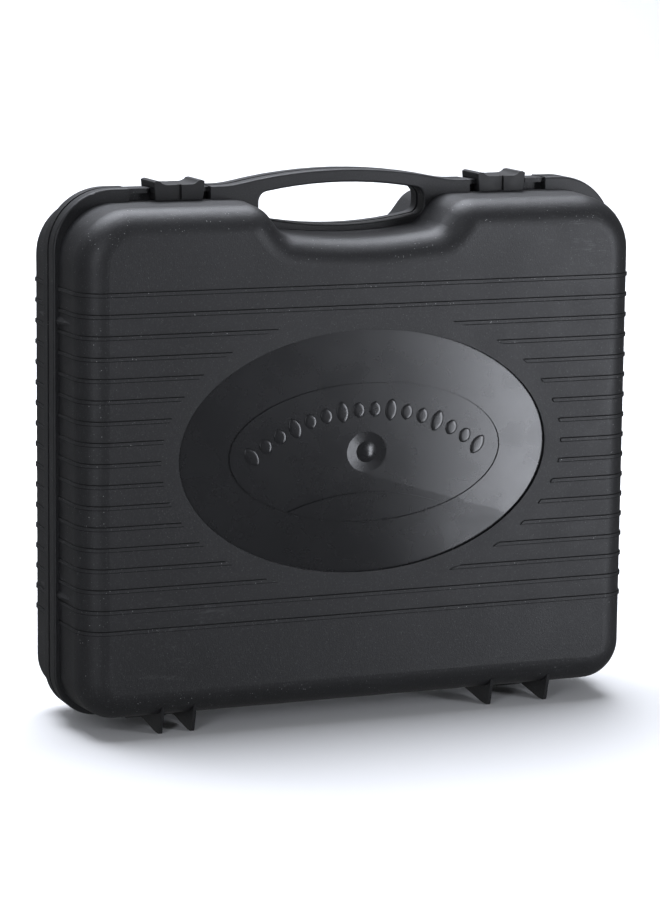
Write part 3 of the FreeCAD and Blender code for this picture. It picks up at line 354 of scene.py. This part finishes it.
def make_materials():
    """One material per slot name in the record."""
    return {
        "case_plastic": case_plastic(),
        "latch_plastic": smooth_plastic("latch_plastic", (0.009, 0.009, 0.0095), 0.50),
        "pin_steel": brushed_metal("pin_steel", (0.62, 0.62, 0.63), 0.28, 0),
        "body_enamel": enamel("body_enamel", (0.022, 0.022, 0.024), 0.35),
        "plate_enamel": enamel("plate_enamel", (0.035, 0.035, 0.038), 0.30),
        "base_steel": brushed_metal("base_steel", (0.56, 0.57, 0.58), 0.42, 0),
        "cast_black": cast_metal("cast_black", (0.018, 0.018, 0.018), 0.45, 0.0),
        "burner_alloy": cast_metal("burner_alloy", (0.62, 0.62, 0.61), 0.42, 1.0),
        "brass": brushed_metal("brass", (0.80, 0.58, 0.25), 0.30, 2),
        "tube_steel": brushed_metal("tube_steel", (0.60, 0.60, 0.58), 0.32, 0),
        "regulator_alloy": cast_metal("regulator_alloy", (0.58, 0.58, 0.59), 0.40, 1.0),
        "stem_steel": brushed_metal("stem_steel", (0.62, 0.62, 0.63), 0.25, 2),
        "knob_plastic": smooth_plastic("knob_plastic", (0.016, 0.016, 0.016), 0.32),
        "bezel_print": brushed_metal("bezel_print", (0.66, 0.66, 0.66), 0.38, 0),
        "lever_plastic": smooth_plastic("lever_plastic", (0.020, 0.020, 0.020), 0.34),
        "carriage_steel": brushed_metal("carriage_steel", (0.58, 0.58, 0.58), 0.36, 2),
        "foot_rubber": rubber("foot_rubber", (0.018, 0.018, 0.018)),
        "screw_steel": brushed_metal("screw_steel", (0.55, 0.55, 0.54), 0.30, 1),
        "igniter_plastic": smooth_plastic("igniter_plastic", (0.60, 0.57, 0.48), 0.40),
        "lead_insulation": rubber("lead_insulation", (0.35, 0.03, 0.02)),
        "ceramic": ceramic(),
    }


def dress_nodes(made):
    """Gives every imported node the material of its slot."""
    for entry in frame["record"]["subparts"]:
        mesh = nodes[entry["node"]].data
        mesh.materials.clear()
        mesh.materials.append(made[entry["material_slot"]])


def dome_y(x, z):
    """Depth of the oval dome's surface at (x, z)."""
    return DOME_FRONT + DOME_SAG * ((x / EMBLEM_A) ** 2 + ((z - EMBLEM_Z) / EMBLEM_B) ** 2)


def add_marks(material):
    """A row of raised leaf shapes on an arc in the oval, where the case has its moulded wording."""
    verts, faces = [], []
    around, shells = 28, ((1.0, -0.0003), (0.96, 0.00030), (0.82, 0.00052), (0.5, 0.00060))
    for n in range(MARK_COUNT):
        turn = math.radians(MARK_SPREAD) * (n / (MARK_COUNT - 1) - 0.5)
        cx, cz = MARK_R * math.sin(turn), MARK_CENTRE_Z + MARK_R * math.cos(turn)
        tall = MARK_TALL if n % 3 == 0 else 0.72 * MARK_TALL
        first = len(verts)
        for share, rise in shells:
            for k in range(around):
                a = 2 * math.pi * k / around
                u = share * MARK_WIDE / 2 * math.copysign(abs(math.sin(a)) ** 1.25, math.sin(a))
                v = share * tall / 2 * math.cos(a)
                x = cx + u * math.cos(turn) + v * math.sin(turn)
                z = cz - u * math.sin(turn) + v * math.cos(turn)
                verts.append((x, dome_y(x, z) - rise, z))
        for ring in range(len(shells) - 1):
            for k in range(around):
                a, b = first + ring * around + k, first + ring * around + (k + 1) % around
                faces.append((a, b, b + around, a + around))
        last = first + (len(shells) - 1) * around
        faces.append(tuple(range(last, last + around)))
        faces.append(tuple(reversed(range(first, first + around))))
    mesh = bpy.data.meshes.new("oval_marks")
    mesh.from_pydata(verts, [], faces)
    mesh.shade_smooth()
    mesh.materials.append(material)
    marks = bpy.data.objects.new("oval_marks", mesh)
    scene.collection.objects.link(marks)
    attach(marks, "lid")


def add_return_spring(material):
    """A copy of the carriage's return spring, fixed to the base; the real spring shortens from below as the
    carriage rises, but this copy keeps its length.
    """
    mesh = nodes["clamp_spring"].data.copy()
    mesh.name = "return_spring"
    mesh.materials.clear()
    mesh.materials.append(material)
    spring = bpy.data.objects.new("return_spring", mesh)
    scene.collection.objects.link(spring)
    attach(spring, "case_base")
    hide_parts("clamp_spring")
    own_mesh(spring)


def add_floor():
    """A plain pale floor that curves up into a backdrop well behind the case."""
    front, back, side, rise, bend = -9.0, 5.4, 9.0, 4.0, 1.4
    profile = [(front, 0.0), (back - bend, 0.0)]
    steps = 16
    for n in range(1, steps + 1):
        angle = math.pi / 2 * n / steps
        profile.append((back - bend + bend * math.sin(angle), bend - bend * math.cos(angle)))
    profile.append((back, rise))
    verts, faces = [], []
    for y, z in profile:
        verts += [(-side, y, z), (side, y, z)]
    for n in range(len(profile) - 1):
        faces.append((2 * n, 2 * n + 1, 2 * n + 3, 2 * n + 2))
    mesh = bpy.data.meshes.new("floor")
    mesh.from_pydata(verts, [], faces)
    mesh.shade_smooth()
    floor = bpy.data.objects.new("floor", mesh)
    scene.collection.objects.link(floor)
    s = Shader("floor_paper")
    tooth = s.noise(400.0, 3.0)
    mesh.materials.append(s.finish((0.86, 0.86, 0.86), 0.85, s.bump(tooth, 0.05, 0.0002), specular=0.2))
    floor.visible_glossy = False           # the case's face doesn't mirror the floor


def light_scene():
    """A dim room with soft boxes: two above for the floor, one at the right, a strip at the left."""
    world = bpy.data.worlds.new("world")
    world.use_nodes = True
    world.node_tree.nodes["Background"].inputs["Color"].default_value = (0.96, 0.98, 1.0, 1.0)
    world.node_tree.nodes["Background"].inputs["Strength"].default_value = ROOM_LIGHT
    scene.world = world
    scene.view_settings.view_transform = "Standard"
    scene.view_settings.look = "None"
    add_area("overhead", (0.0, 0.9, 2.6), (0.0, 0.75, 0.0), (2.6, 2.0), 140.0)
    add_area("backdrop", (0.0, 2.7, 3.0), (0.0, 4.6, 0.5), (4.0, 1.0), 190.0)
    add_area("right_box", (0.86, -1.10, 0.05), (0.08, -0.05, 0.18), (0.34, 0.95), 14.0)
    add_area("left_strip", (-1.55, -1.75, 0.5), (-0.1, -0.05, 0.2), (0.35, 1.8), 16.0)


slots = make_materials()
add_camera()
dress_nodes(slots)
add_marks(slots["case_plastic"])
add_return_spring(slots[SLOT_OF["clamp_spring"]])
add_floor()
light_scene()
